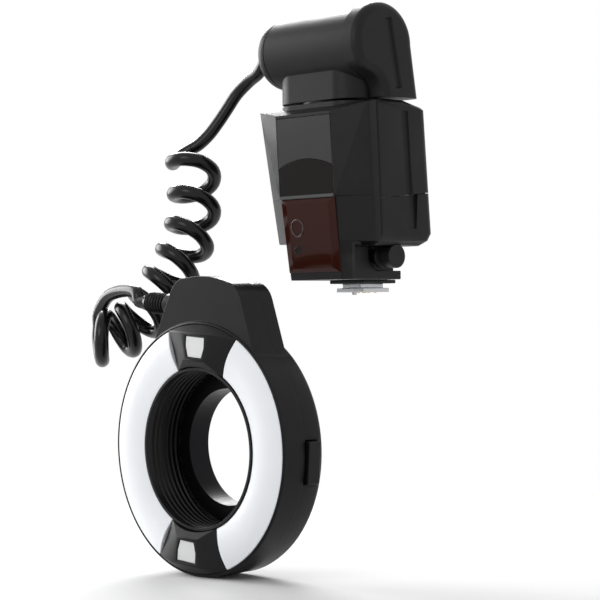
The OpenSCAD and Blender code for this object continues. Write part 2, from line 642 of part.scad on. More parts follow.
// Tilting head: two ears on the pivots, joined behind the drum
tail_z = deck_z + top_collar_h + 1.2;
tail_front = head_y + 0.1;
chin_z = head_z - 0.64 * ear_r;
module seen_from_side(x, t) rotate([90, 0, 90]) translate([0, 0, x]) linear_extrude(t) children();
module ear_tail(r) polygon([[tail_front, tail_z], [tail_y, tail_z], [head_y + r, head_z],
    [tail_front, head_z]]);
module right_outline() {
    difference() {
        translate([head_y, head_z]) circle(ear_r, $fn = 128);
        translate([head_y - 2 * ear_r, chin_z - 2 * ear_r])
            square([2 * ear_r + tail_front - head_y, 2 * ear_r]);
    }
    ear_tail(ear_r);
}
module left_ear() color([0.14, 0.14, 0.15]) difference() {
    union() {
        translate([-ear_in, head_y, head_z]) rotate([0, -90, 0]) rotate_extrude($fn = 128) {
            square([drum_r, left_x - ear_in - left_edge]);
            square([drum_r - left_edge, left_x - ear_in]);
            translate([drum_r - left_edge, left_x - ear_in - left_edge]) intersection() {
                circle(left_edge);
                square(left_edge);
            }
        }
        seen_from_side(-left_x + left_edge / 2, left_x - left_edge / 2 - ear_in) ear_tail(drum_r);
    }
    along_x(-pivot_out, head_y, head_z) cylinder(r = pivot_r + 0.02, h = ear_x);
    along_x(-ear_x - 1, head_y, head_z) cylinder(r = 2.5, h = ear_x);
}
module right_ear() color([0.11, 0.11, 0.12]) difference() {
    seen_from_side(ear_in, ear_x - ear_in) right_outline();
    along_x(0, head_y, head_z) cylinder(r = pivot_r + 0.02, h = pivot_out);
    groove([ear_x, head_y + 2.2, head_z + 12], [ear_x, head_y + 8.8, tail_z + 4]);
}
cover_w = 2 * ear_in;
module head_rear_cover() color([0.11, 0.11, 0.12]) difference() {
    union() {
        along_x(-ear_in, head_y, head_z) cylinder(r = ear_r, h = cover_w, $fn = 128);
        rotate([90, 0, 90]) translate([0, 0, -ear_in]) linear_extrude(cover_w)
            polygon([[head_y, head_z - 2], [head_y + ear_r - 1, head_z - 2],
                [tail_y, tail_z], [head_y, tail_z]]);
    }
    along_x(-ear_x, head_y, head_z) cylinder(r = drum_r + gap, h = 2 * ear_x, $fn = 128);
    translate([-ear_x, neck_y - ear_x, tail_z - 1])
        cube([2 * ear_x, ear_x + neck_d / 2 + 2 * gap, head_z - tail_z]);
    translate([-ear_x, head_y - ear_x, tail_z - 1]) cube([2 * ear_x, ear_x + drum_r * 0.6, 2 * ear_x]);
}
pivot_in = neck_w / 2 - 9;
pivot_out = left_x - 3;
module tilt_pivots() color("goldenrod") for (x = [-pivot_out, pivot_in]) difference() {
    along_x(x, head_y, head_z) cylinder(r = pivot_r, h = pivot_out - pivot_in);
    along_x(-60, head_y, head_z) cylinder(r = pivot_r - 2.5, h = 120);
}
module cable_gland() color([0.05, 0.05, 0.05]) translate([-left_x, head_y, head_z]) rotate([0, -90, 0])
    rotate_extrude() polygon([[0, 0], [6.4, 0], [6.4, 1.4], [5.2, 2], [5.2, 3], [4.6, 3.4], [4.6, 4.4],
        [lead_d / 2 + 0.5, gland_l], [0, gland_l]]);

// Cord
module cord_lead() color("black") tube(lead_route, lead_d, 10);
module curly_cord() color("black") {
    echo(curl_gap = curl_gap);
    tube(curl_path, curl_d, 6);
}
module cord_tail() color("black") tube(tail_path, lead_d, 10);
module strain_relief() color("black") in_ring()
    translate([-strain_in, strain_y, strain_z]) rotate([0, -90, 0]) rotate_extrude()
        polygon(concat([[0, 0], [strain_r, 0]],
        [for (i = [0 : 6]) each [[strain_r, 8 + 2 * i], [strain_r - 0.9, 8.3 + 2 * i],
            [strain_r - 0.9, 9.4 + 2 * i], [strain_r - 0.05 * i, 9.7 + 2 * i]]],
        [[lead_d / 2 + 0.4, strain_tip_x - strain_in], [0, strain_tip_x - strain_in]]));

// Ring head
function hood_half(inset) = concat([[hood_low_x - inset, 30], [hood_low_x - inset, hood_low_y]],
    [for (a = [22 : 9 : 85]) [hood_top_x - hood_r, hood_top - hood_arch - hood_r]
        + (hood_r - inset) * [cos(a), sin(a)]],
    [for (u = [0.75, 0.5, 0.25]) [u * (hood_top_x - hood_r), hood_top - inset - hood_arch * u * u]]);
module hood(inset) for (s = [0, 1]) mirror([s, 0])
    polygon(concat(hood_half(inset), [[0, hood_top - inset], [0, 30]]));
module sector(half, r_in, r_out) intersection() {
    difference() {
        circle(r_out, $fn = 128);
        circle(r_in, $fn = 128);
    }
    polygon([[0, 0], [-80 * tan(half), 80], [80 * tan(half), 80]]);
}
boss_c = ring_r - 5.7;
boss_spots = [for (a = [76, 104, 256, 284]) boss_c * [cos(a), sin(a)]];
module ring_front_shell() color([0.1, 0.1, 0.11]) in_ring() difference() {
    union() {
        difference() {
            union() {
                translate([0, 0, -front_d]) cylinder(r = ring_r, h = front_d - 0.6, $fn = 128);
                translate([0, 0, -0.6]) cylinder(r1 = ring_r, r2 = ring_r - 0.6, h = 0.6, $fn = 128);
                translate([0, 0, -front_d]) linear_extrude(front_d - 1) hood(0);
            }
            translate([0, 0, shell_seat]) cylinder(r = glow_r + 0.1, h = front_d, $fn = 128);
            translate([0, 0, -front_d - 1]) linear_extrude(front_d - wall) difference() {
                hood(wall);
                circle(ring_r, $fn = 128);
            }
        }
        for (p = boss_spots) translate([p.x, p.y, shell_seat - 0.1]) cylinder(r = 2.4, h = 7);
    }
    translate([0, 0, -front_d - 1]) cylinder(r = sleeve_r + 0.1, h = front_d + 2, $fn = 128);
    for (p = boss_spots) translate([p.x, p.y, -front_d - 1]) cylinder(r = 1.22, h = front_d);
    translate([-strain_in, strain_y, strain_z]) rotate([0, -90, 0]) cylinder(r = strain_r + 0.05, h = 30);
    for (s = [-1, 1]) translate([s * 11 - 3, 40, -front_d - 1]) cube([6, 6, floor_t + 2]);
}
module ring_rear_shell() color([0.11, 0.11, 0.12]) in_ring() difference() {
    union() {
        rotate_extrude($fn = 128) polygon([[adapter_r + run, -ring_d], [ring_r - 4, -ring_d],
            [ring_r - 1.5, -ring_d + 1.6], [ring_r - 0.5, -ring_d + 4],
            [ring_r - 0.5, -front_d], [ring_r - 0.5 - wall, -front_d],
            [ring_r - 0.5 - wall, -ring_d + wall], [adapter_r + run, -ring_d + wall]]);
        translate([0, 0, -front_d - 8]) linear_extrude(8) difference() {
            hood(0.4);
            circle(ring_r - 1, $fn = 128);
        }
        for (p = boss_spots) translate([p.x, p.y, -ring_d + 1])
            cylinder(r = 2.8, h = ring_d - front_d - 1);
    }
    translate([0, 0, -front_d - 8 + wall]) linear_extrude(20) difference() {
        hood(0.4 + wall);
        circle(ring_r, $fn = 128);
    }
    for (s = [-1, 1])
        translate([s * ring_r - 6, -release_h / 2 - gap, -front_d - release_t - release_drop - gap])
            cube([12, release_h + 2 * gap, release_t + release_drop + gap + 1]);
    for (p = boss_spots) translate([p.x, p.y, -ring_d - 1]) {
        cylinder(r = 1.22, h = ring_d);
        cylinder(r = 2.3, h = 2);
    }
}
module ring_screws() color("silver") in_ring() for (p = boss_spots)
    translate([p.x, p.y, -ring_d]) difference() {
    union() {
        translate([0, 0, 0.1]) cylinder(r = 2.2, h = 0.9);
        translate([0, 0, 0.5]) cylinder(r = 1.2, h = ring_d - front_d + 6);
    }
    for (a = [0, 90]) rotate([0, 0, a]) translate([-1.4, -0.3, 0]) cube([2.8, 0.6, 0.6]);
}
sleeve_ribs = 6;
rib_pitch = 2.7;
module bore_sleeve() color([0.05, 0.05, 0.05]) in_ring() rotate_extrude($fn = 128) polygon(concat(
    [[sleeve_r, 0.3], [sleeve_r, sleeve_back + 1.4], [sleeve_r + 5, sleeve_back + 1.4],
        [sleeve_r + 5, sleeve_back], [bore_r - 0.6, sleeve_back]],
    [for (i = [0 : sleeve_ribs - 1]) let (z = sleeve_back + 0.6 + i * rib_pitch)
        each [[bore_r - 0.6, z], [bore_r + 0.1, z + 0.3], [bore_r + 0.1, z + 1.9],
            [bore_r - 0.6, z + 2.2]]],
    [[bore_r - 0.6, 0.3]]));

// Diffusers, reflectors and flash tubes, one of each on either side
glow_in = sleeve_r + 0.3;
glow_half = 90 - bezel_half - 0.3;
glow_t = 2.2;
module arc_part(side, half) in_ring() mirror([side < 0 ? 1 : 0, 0, 0]) rotate([0, 0, -half])
    rotate_extrude(angle = 2 * half, $fn = 128) children();
module glow_profile() polygon(concat([[glow_r, -glow_t], [glow_r, -0.2]],
    [for (i = [1 : 9]) let (u = i / 10)
        [glow_r + (glow_in - glow_r) * u, -0.2 + glow_crown * sin(180 * u)]],
    [[glow_in, -0.2], [glow_in, -glow_t]]));
glow_mid = (glow_in + glow_r) / 2;
trough_w = glow_r - glow_mid - 1.2;
trough_d = -glow_t - shell_seat - 2;
module reflector_profile() difference() {
    translate([glow_in + 0.2, shell_seat]) square([glow_r - glow_in - 0.4, -glow_t - shell_seat]);
    translate([glow_mid, -glow_t]) scale([1, trough_d / trough_w]) circle(trough_w);
}
module left_diffuser() color("white") arc_part(-1, glow_half) glow_profile();
module right_diffuser() color("white") arc_part(1, glow_half) glow_profile();
module reflectors() color("silver") for (side = [-1, 1]) arc_part(side, glow_half) reflector_profile();
tube_r = 1.5;
tube_z = -glow_t - trough_d + tube_r + run;
module flash_tubes() color("lightcyan") for (side = [-1, 1]) arc_part(side, glow_half - 4)
    translate([glow_mid, tube_z]) circle(tube_r);

// Lamp bezels between the diffusers, each with a window and a small lamp behind it
lamp_y = glow_mid - 0.6;
module lamp_shape(grow) polygon([[-lamp_w / 2 - grow, lamp_h / 2 + grow], [-lamp_w / 2 - grow, 0],
    [-lamp_w / 2 + 1.6 - grow, -lamp_h / 2 - grow], [lamp_w / 2 - 1.6 + grow, -lamp_h / 2 - grow],
    [lamp_w / 2 + grow, 0], [lamp_w / 2 + grow, lamp_h / 2 + grow]]);
module bezel_plate(z, x_top, y_top, x_low, y_low) translate([0, 0, z]) linear_extrude(skin)
    polygon([[-x_top, y_top], [x_top, y_top], [x_low, y_low], [-x_low, y_low]]);
module lamp_bezel() difference() {
    union() {
        translate([0, 0, shell_seat]) linear_extrude(-shell_seat)
            sector(bezel_half - 0.2, glow_in, glow_r);
        hull() {
            translate([0, 0, -1]) linear_extrude(1) sector(bezel_half - 0.2, glow_in, glow_r);
            bezel_plate(bezel_rise, lamp_w / 2 + 3.4, lamp_y + lamp_h / 2 + 1.6,
                lamp_w / 2 + 0.8, lamp_y - lamp_h / 2 - 1.6);
        }
    }
    translate([0, 0, shell_seat - 1]) linear_extrude(-shell_seat)
        sector(bezel_half - 5, glow_in + 2, glow_r - 1.6);
    translate([0, lamp_y, -2]) linear_extrude(bezel_rise + 4) lamp_shape(0.1);
    translate([0, 0, shell_seat - 1]) cylinder(r = glow_in, h = 30, $fn = 128);
}
module top_lamp_bezel() color([0.09, 0.09, 0.1]) in_ring() lamp_bezel();
module bottom_lamp_bezel() color([0.09, 0.09, 0.1]) in_ring() rotate([0, 0, 180]) lamp_bezel();
module each_lamp() in_ring() for (a = [0, 180]) rotate([0, 0, a]) translate([0, lamp_y, 0]) children();
module lamp_lenses() color("lightcyan") each_lamp()
    translate([0, 0, bezel_rise - 2.4]) linear_extrude(2) lamp_shape(0);
module lamp_leds() color("lightyellow") each_lamp() {
    translate([0.3 - lamp_w / 2, 0.7 - lamp_h / 2, shell_seat]) cube([lamp_w - 0.6, lamp_h - 1.4, 1.2]);
    translate([0, 0, shell_seat + 1]) cylinder(r = 2.5, h = 4);
    translate([0, 0, shell_seat + 4.5]) sphere(2.5);
}
module ring_board() color("darkgreen") in_ring() translate([0, 0, -front_d - board_t]) difference() {
    cylinder(r = foot_x - 2 * gap, h = board_t, $fn = 128);
    translate([0, 0, -1]) cylinder(r = sleeve_r + 0.5, h = 4, $fn = 128);
}

// Release buttons with latch plates: each plate hooks into the adapter's groove on the far side
foot_x = ring_r - 8.3;
foot_rise = 4.8;
module release_button(side) in_ring() mirror([side < 0 ? 1 : 0, 0, 0]) {
    translate([ring_r - 5, -release_h / 2, -front_d - release_t - release_drop])
        cube([6.8, release_h, release_t]);
    translate([foot_x, -6, latch_z - latch_step - latch_t])
        cube([ring_r - foot_x - 4, 12, foot_rise]);
}
module latch_plate(side, z) in_ring() mirror([side < 0 ? 1 : 0, 0, 0]) translate([0, 0, z - latch_t]) {
    difference() {
        union() {
            cylinder(r = latch_r, h = latch_t, $fn = 128);
            translate([adapter_r, -5, 0]) cube([foot_x - adapter_r, 10, latch_t]);
        }
        translate([0, 0, -1]) cylinder(r = adapter_r + release_travel + gap, h = 4, $fn = 128);
    }
    intersection() {
        difference() {
            cylinder(r = adapter_r + release_travel + 1.5, h = latch_t, $fn = 128);
            translate([0, 0, -1]) cylinder(r = groove_r + 0.4, h = 4, $fn = 128);
        }
        translate([-latch_r, -4, -1]) cube([latch_r, 8, 4]);
    }
}
module left_release_button() color("black") release_button(-1);
module right_release_button() color("black") release_button(1);
module left_latch_plate() color("silver") latch_plate(-1, latch_z - latch_step);
module right_latch_plate() color("silver") latch_plate(1, latch_z);

// Lens adapter with its latch groove, clear hole and male filter thread
module lens_adapter() color([0.12, 0.12, 0.12]) in_ring() rotate_extrude($fn = 128) polygon([
    [adapter_bore_r, adapter_front], [adapter_r, adapter_front], [adapter_r, latch_z + 0.5],
    [groove_r, latch_z + 0.5], [groove_r, latch_z - latch_step - latch_t - 0.4],
    [adapter_r, latch_z - latch_step - latch_t - 0.4],
    [adapter_r, -ring_d - 0.5], [thread_r, -ring_d - 0.5], [thread_r, -ring_d - 0.5 - thread_l],
    [adapter_bore_r, -ring_d - 0.5 - thread_l]]);

shoe_foot();
shoe_contacts();
shoe_collar();
lock_pin();
lock_button();
base_cover();
front_shell();
rear_shell();
name_panel();
dark_window();
trim_bar();
red_window();
af_lamp();
light_sensor();
top_collar();
swivel_washer();
swivel_clip();
battery_door();
battery_cells();
battery_tray();
main_board();
main_capacitor();
lcd_window();
display_board();
mode_key();
minus_key();
plus_key();
lamp_key();
test_button();
power_switch();
case_screws();
turret();
left_ear();
right_ear();
head_rear_cover();
tilt_pivots();
cable_gland();
cord_lead();
curly_cord();
cord_tail();
ring_front_shell();
ring_rear_shell();
bore_sleeve();
left_diffuser();
right_diffuser();
reflectors();
flash_tubes();
top_lamp_bezel();
bottom_lamp_bezel();
lamp_lenses();
lamp_leds();
ring_board();
strain_relief();
left_release_button();
right_release_button();
left_latch_plate();
right_latch_plate();
ring_screws();
lens_adapter();
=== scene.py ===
# %% [markdown]
# # A macro ring flash, dressed for its portrait
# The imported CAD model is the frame: a control unit with a tilting head, a curly cord and a ring-shaped
# flash head. This script gives every piece its rounded edges, its real finish and light to be seen in.
# Lengths are metres, so a size in millimetres is multiplied by MM.

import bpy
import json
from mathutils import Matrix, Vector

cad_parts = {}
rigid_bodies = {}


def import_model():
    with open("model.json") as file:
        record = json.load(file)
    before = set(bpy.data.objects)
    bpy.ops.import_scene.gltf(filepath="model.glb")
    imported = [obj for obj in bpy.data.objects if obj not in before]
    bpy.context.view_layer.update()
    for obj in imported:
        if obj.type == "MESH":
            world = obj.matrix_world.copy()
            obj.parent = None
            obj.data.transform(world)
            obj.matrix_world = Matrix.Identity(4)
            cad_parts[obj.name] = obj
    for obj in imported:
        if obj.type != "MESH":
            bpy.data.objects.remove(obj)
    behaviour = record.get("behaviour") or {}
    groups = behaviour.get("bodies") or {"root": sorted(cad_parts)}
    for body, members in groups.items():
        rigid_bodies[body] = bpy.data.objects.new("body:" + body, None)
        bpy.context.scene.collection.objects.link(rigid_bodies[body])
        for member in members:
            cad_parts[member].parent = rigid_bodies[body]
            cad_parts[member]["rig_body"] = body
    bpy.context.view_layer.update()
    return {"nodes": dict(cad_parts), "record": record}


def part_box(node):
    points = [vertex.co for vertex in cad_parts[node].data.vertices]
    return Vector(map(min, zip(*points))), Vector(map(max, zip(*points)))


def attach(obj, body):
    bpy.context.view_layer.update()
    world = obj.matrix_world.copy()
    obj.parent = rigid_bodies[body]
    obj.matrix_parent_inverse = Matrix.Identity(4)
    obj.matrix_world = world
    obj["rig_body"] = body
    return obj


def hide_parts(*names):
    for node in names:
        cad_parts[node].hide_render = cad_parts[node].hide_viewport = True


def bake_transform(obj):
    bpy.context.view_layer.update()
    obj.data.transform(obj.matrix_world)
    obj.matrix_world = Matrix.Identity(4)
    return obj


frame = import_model()

import json
import math

import bmesh
import bpy
from mathutils import Matrix, Vector

MM = 0.001
scene_objects = bpy.context.scene.collection.objects

# %% [markdown]
# ## Camera
# The photographer stood to the right of the lens, level with the shoe, and used a long lens, so upright
# edges stay nearly parallel. The place and the angles come from fitting the known shoe and ring sizes to
# the picture. Two turns and a small roll place the camera, which is easier to read than a finished matrix.

# %% Camera
camera = bpy.data.objects.new("camera", bpy.data.cameras.new("camera"))
scene_objects.link(camera)
bpy.context.scene.camera = camera
camera.data.lens, camera.data.sensor_width = 126, 36
camera.data.clip_start, camera.data.clip_end = 0.01, 50
camera_place = Vector((728.3, -732.8, -9.37)) * MM
round_from_front, look_down, roll = (math.radians(a) for a in (46.54, -0.33, -0.71))
camera.matrix_world = (
    Matrix.Translation(camera_place)
    @ Matrix.Rotation(round_from_front, 4, "Z")
    @ Matrix.Rotation(math.pi / 2 - look_down, 4, "X")
    @ Matrix.Rotation(roll, 4, "Z")
)
bpy.context.scene.view_settings.view_transform = "Standard"
print("camera", [round(x, 3) for x in camera.location], "lens", camera.data.lens, "mm")

# %% [markdown]
# ## Route of the cord
# The cord leaves the head through a gland, hangs to the left, winds round its own middle line eight times
# and runs over the last curls into the ring's strain relief. A few points give each stretch, and a spline
# that passes through all its points (Catmull-Rom) joins them, so the cord has no kinks where stretches meet.

# %% Route of the cord
def between(a, b, c, d, t):
    """The point a share t of the way from b to c, on the smooth line through all four."""
    bend, twist = 2 * a - 5 * b + 4 * c - d, 3 * b - a - 3 * c + d
    return 0.5 * (2 * b + (c - a) * t + bend * t**2 + twist * t**3)


def smooth_line(points, steps):
    """The line through all the points, with that many steps between neighbours."""
    ends = [2 * points[0] - points[1], *points, 2 * points[-1] - points[-2]]
    spans = zip(ends, ends[1:], ends[2:], ends[3:])
    return [between(*span, i / steps) for span in spans for i in range(steps)] + [points[-1]]


def line_length(line):
    """The length of a line, from point to point."""
    return sum((b - a).length for a, b in zip(line, line[1:]))


def route(*places):
    """Places in millimetres as points in metres."""
    return [Vector(place) * MM for place in places]


lead_route = route((-42, -21.5, 117.5), (-44.5, -21.5, 117.5), (-50.5, -20.8, 111.3),
                   (-58.6, -20.5, 107.5), (-65.9, -22.5, 101.4), (-70, -25, 94.7), (-73.5, -28, 88),
                   (-77.3, -31.5, 81.3), (-81.2, -34.8, 76.6), (-84, -37, 74.5))
curl_axis = route((-82, -39, 90.5), (-79, -42, 73), (-72, -46.5, 53), (-67, -53, 33.5), (-67, -61, 16.5),
                  (-70, -70, 2.5), (-72, -79, -9.5), (-78, -89.5, -18.5), (-88.5, -99.5, -22),
                  (-100.5, -110, -24.5))
tail_route = route((-95, -90, -15), (-94, -90.5, -8.5), (-82, -94, -0.5), (-66, -97, 2), (-52.5, -100, 1),
                   (-49.41, -101, -3.21), (-43.23, -101, -3.70))
lead_d, curl_d = 6.2 * MM, 7 * MM  # the cord's diameter in the straight stretches and in the curls
print(len(lead_route) + len(curl_axis) + len(tail_route), "points give the route")

# %% [markdown]
# The curls are a helix round the axis line. At each place the axis gives a direction; one side of it that
# looks away from the camera and the cross product of the two span the plane in which the cord turns.

# %% Curls round their axis
away = Vector((-0.726, 0.688, 0)).normalized()
curl_r = 10.5 * MM  # from the axis to the middle of the cord
curls, curl_start = 8, 20  # how many, and the angle in degrees at which the first one starts
axis_spans = len(curl_axis) - 3  # the axis' first and last point only shape its ends
curl_marks, line_steps = 64, 4  # places along the helix, and steps of the line between two places


def on_axis(s):
    """The axis' point after s of its spans."""
    i = min(int(s), axis_spans - 1)
    return between(*curl_axis[i:i + 4], s - i)


def curl_point(share):
    """The helix' point at that share of the axis."""
    s, near = share * axis_spans, 0.01
    middle, ahead = on_axis(s), (on_axis(s + near) - on_axis(max(s - near, 0))).normalized()
    side = (away - away.dot(ahead) * ahead).normalized()
    angle = math.radians(curl_start - (360 * curls + curl_start) * share)
    return middle + curl_r * (side * math.cos(angle) + ahead.cross(side) * math.sin(angle))


lead_way = (lead_route[-1] - lead_route[-2]).normalized()
tail_way = (tail_route[1] - tail_route[0]).normalized()
curl_points = [lead_route[-1] + curl_d * lead_way,
               *(curl_point(i / curl_marks) for i in range(2, curl_marks)),
               tail_route[0] - curl_d * tail_way]
cord_line = smooth_line([*lead_route, *curl_points, *tail_route], line_steps)
lead_last = (len(lead_route) - 1) * line_steps
lead_line, curl_line = cord_line[:lead_last + 1], cord_line[lead_last:]
print("lead", round(line_length(lead_line), 4), "m, curls and tail", round(line_length(curl_line), 4), "m")

# %% [markdown]
# ## Helpers for finishes
# A finish is a small tree of nodes. One function adds any node with its settings and links, and one turns
# the sRGB hex colours that people read into the linear values that the renderer adds up. Three more put
# together what most finishes share: a place on the object, a change of range and a bump.

# %% Helpers for finishes
def linear(hex_colour):
    """An sRGB hex colour as linear red, green, blue and alpha."""
    parts = [int(hex_colour[i:i + 2], 16) / 255 for i in (1, 3, 5)]
    return [c / 12.92 if c <= 0.04045 else ((c + 0.055) / 1.055) ** 2.4 for c in parts] + [1]


def add_node(tree, kind, settings=None, inputs=None):
    """Adds a node. Settings are its properties; inputs are values, or sockets to link from."""
    node = tree.nodes.new(kind)
    for name, value in (settings or {}).items():
        setattr(node, name, value)
    for name, value in (inputs or {}).items():
        if isinstance(value, bpy.types.NodeSocket):
            tree.links.new(value, node.inputs[name])
        else:
            node.inputs[name].default_value = value
    return node


def object_place(tree):
    """The place on the object, in metres, so that a pattern keeps its real size."""
    return add_node(tree, "ShaderNodeTexCoord").outputs["Object"]


def map_range(tree, value, given, wanted):
    """A socket's values, moved from one range to another."""
    return add_node(tree, "ShaderNodeMapRange", inputs={
        "Value": value, "From Min": given[0], "From Max": given[1],
        "To Min": wanted[0], "To Max": wanted[1]}).outputs["Result"]


def bump_of(tree, height, strength, distance):
    """A bump with a socket's values as its height; the distance is in millimetres."""
    return add_node(tree, "ShaderNodeBump", inputs={
        "Height": height, "Strength": strength, "Distance": distance * MM}).outputs["Normal"]


def new_finish(name, **constants):
    """A material with only its shader, whose constant values are set on the shader's own sockets."""
    made = bpy.data.materials.new(name)
    made.use_nodes = True
    tree = made.node_tree
    shader = tree.nodes["Principled BSDF"]
    for socket, value in constants.items():
        shader.inputs[socket.replace("_", " ")].default_value = value
    return made, tree, shader


def per_mm(size):
    """The texture scale that gives a pattern of that size in millimetres."""
    return 1 / (size * MM)


NOISE_RANGE = 0.3, 0.7  # most values of a noise lie between these
print("black reads", [round(x, 4) for x in linear("#1c1c1d")[:3]])

# %% [markdown]
# ## Moulded plastic
# The shells are ABS from a mould whose wall was spark-eroded, so the skin has a fine, even grain, and
# hands have polished it a little here and there. A noise gives the grain as a bump, and a second, much
# larger noise moves the roughness and the tone. The real grain is about 0.1 mm; it is drawn at 0.4 mm and
# more, because finer would not show in the picture.

# %% Moulded plastic
def moulded(name, dark, light, rough, grain, depth, **constants):
    """Grained plastic between two tones; grain in millimetres, rough as its lowest and highest value."""
    made, tree, shader = new_finish(name, **constants)
    place = object_place(tree)
    cloud = add_node(tree, "ShaderNodeTexNoise", inputs={
        "Vector": place, "Scale": per_mm(26), "Detail": 4, "Roughness": 0.6}).outputs["Fac"]
    grains = add_node(tree, "ShaderNodeTexNoise", inputs={
        "Vector": place, "Scale": per_mm(grain), "Detail": 2, "Roughness": 0.5}).outputs["Fac"]
    tone = add_node(tree, "ShaderNodeValToRGB", inputs={"Fac": cloud})
    for i, colour in enumerate((dark, light)):
        stop = tone.color_ramp.elements[i]
        stop.position, stop.color = NOISE_RANGE[i], linear(colour)
    polish = map_range(tree, cloud, NOISE_RANGE, rough[::-1])
    tree.links.new(tone.outputs["Color"], shader.inputs["Base Color"])
    tree.links.new(polish, shader.inputs["Roughness"])
    tree.links.new(bump_of(tree, grains, depth, 0.1), shader.inputs["Normal"])
    return made


# Satin black ABS: dark grey, a wide soft sheen and a grain that breaks it up.
black_abs = moulded("black_satin_abs", "#151516", "#1c1c1d", (0.36, 0.46), 0.6, 0.35,
                    Specular_IOR_Level=0.17)
# The ring's shells come from a smoother mould.
ring_abs = moulded("ring_black_abs", "#131314", "#19191a", (0.3, 0.4), 0.5, 0.2, Specular_IOR_Level=0.14)
# Painted panel: a shade lighter than the shell, and flatter.
panel_paint = moulded("grey_panel_paint", "#272728", "#2d2d2e", (0.42, 0.5), 0.5, 0.15,
                      Specular_IOR_Level=0.18)
trim_abs = moulded("grey_trim_abs", "#3a3a3a", "#444444", (0.35, 0.45), 0.5, 0.2, Specular_IOR_Level=0.3)
# Keys: slightly lighter ABS with a silky top.
key_abs = moulded("grey_key_abs", "#38383a", "#434345", (0.4, 0.5), 0.4, 0.25)
# Bore sleeve: deep black against stray light.
sleeve_abs = moulded("dull_black_sleeve", "#090909", "#0d0d0d", (0.3, 0.4), 0.5, 0.1,
                     Specular_IOR_Level=0.2)
# Cord jacket: soft PVC, smooth and rather glossy, with a faint ripple from the extruder.
cord_pvc = moulded("glossy_black_pvc", "#0b0b0c", "#101011", (0.2, 0.28), 1.6, 0.08,
                   Specular_IOR_Level=0.24)
print("moulded finishes:", black_abs.name, ring_abs.name, panel_paint.name, cord_pvc.name)

# %% [markdown]
# ## Windows and lamps
# The dark window is a nearly opaque brown filter, the red one an infrared filter, both polished acrylic.
# The diffusers are milky acrylic, which scatters light inside, so subsurface scattering does the work.
# The lamp lenses are clear with moulded lines, which a stripe pattern gives as a bump.

# %% Windows and lamps
def polished(name, colour, smudge, **constants):
    """Polished plastic: clear gloss with faint smears that move the roughness."""
    made, tree, shader = new_finish(name, Base_Color=linear(colour), **constants)
    smear = add_node(tree, "ShaderNodeTexNoise", inputs={
        "Vector": object_place(tree), "Scale": per_mm(9), "Detail": 5, "Roughness": 0.65})
    rough = map_range(tree, smear.outputs["Fac"], (0.35, 0.7), smudge)
    tree.links.new(rough, shader.inputs["Roughness"])
    return made


dark_acrylic = polished("dark_brown_acrylic", "#100c0a", (0.05, 0.12), IOR=1.49, Specular_IOR_Level=0.14)
red_acrylic = polished("dark_red_acrylic", "#34160f", (0.05, 0.1), IOR=1.49, Specular_IOR_Level=0.12)
eye_acrylic = polished("glossy_red_acrylic", "#34160f", (0.03, 0.06), IOR=1.49)
display_acrylic = polished("display_acrylic", "#5c6660", (0.06, 0.14), IOR=1.49)
amber_acrylic = polished("amber_key_acrylic", "#8a3414", (0.2, 0.3), IOR=1.49)
lamp_white = polished("white_lamp_body", "#dcdcd8", (0.15, 0.3), IOR=1.5)
milky = polished("milky_acrylic", "#f0f2f7", (0.28, 0.4), IOR=1.49, Subsurface_Weight=0.4,
                 Subsurface_Radius=(0.004, 0.004, 0.004))
tube_glass = polished("clear_tube_glass", "#e8f0f0", (0.02, 0.05), IOR=1.47, Transmission_Weight=0.9)

# Lamp lens: clear, with soft lines (the real ones are finer and would not show). The wave node repeats
# every 2 pi / 20 of its scale, so the lines are 2 pi * 0.9 mm, or nearly 6 mm, apart.
lens_clear, tree, shader = new_finish(
    "ribbed_clear_acrylic", Base_Color=linear("#f0f1f1"), Roughness=0.18, IOR=1.49, Transmission_Weight=0.2)
lines = add_node(tree, "ShaderNodeTexWave", {"bands_direction": "Z"}, {
    "Vector": object_place(tree), "Scale": per_mm(0.9) / 20, "Distortion": 0.2})
tree.links.new(bump_of(tree, lines.outputs["Fac"], 0.4, 0.2), shader.inputs["Normal"])
print("windows:", dark_acrylic.name, red_acrylic.name, milky.name, lens_clear.name)

# %% [markdown]
# ## Metal, boards and cells
# Bright parts are brushed: a noise stretched along one axis gives the scratches, which move the roughness
# and the bump. The boards inside carry a solder mask with faint copper tracks under it.

# %% Metal, boards and cells
def brushed(name, colour, rough, stretch):
    """Metal with scratches; stretch is the noise's scale along each axis."""
    made, tree, shader = new_finish(name, Base_Color=linear(colour), Metallic=1.0)
    place = add_node(tree, "ShaderNodeMapping", inputs={"Vector": object_place(tree), "Scale": stretch})
    scratch = add_node(tree, "ShaderNodeTexNoise", inputs={
        "Vector": place.outputs["Vector"], "Scale": per_mm(0.5), "Detail": 4}).outputs["Fac"]
    tree.links.new(map_range(tree, scratch, NOISE_RANGE, rough), shader.inputs["Roughness"])
    tree.links.new(bump_of(tree, scratch, 0.15, 0.05), shader.inputs["Normal"])
    return made


steel = brushed("brushed_steel", "#b9babc", (0.25, 0.42), (1, 0.06, 1))
brass = brushed("gold_flashed_brass", "#d9b35c", (0.2, 0.32), (1, 1, 0.2))
anodised = brushed("black_anodised_aluminium", "#1d1d1f", (0.35, 0.5), (1, 0.1, 1))
oxide = brushed("black_oxide_steel", "#2a2a2b", (0.35, 0.5), (1, 1, 1))
mirror_sheet = brushed("bright_aluminium_sheet", "#e4e4e4", (0.12, 0.25), (1, 0.1, 1))
cell_jacket = brushed("grey_cell_jacket", "#8b8f94", (0.3, 0.4), (1, 1, 0.1))

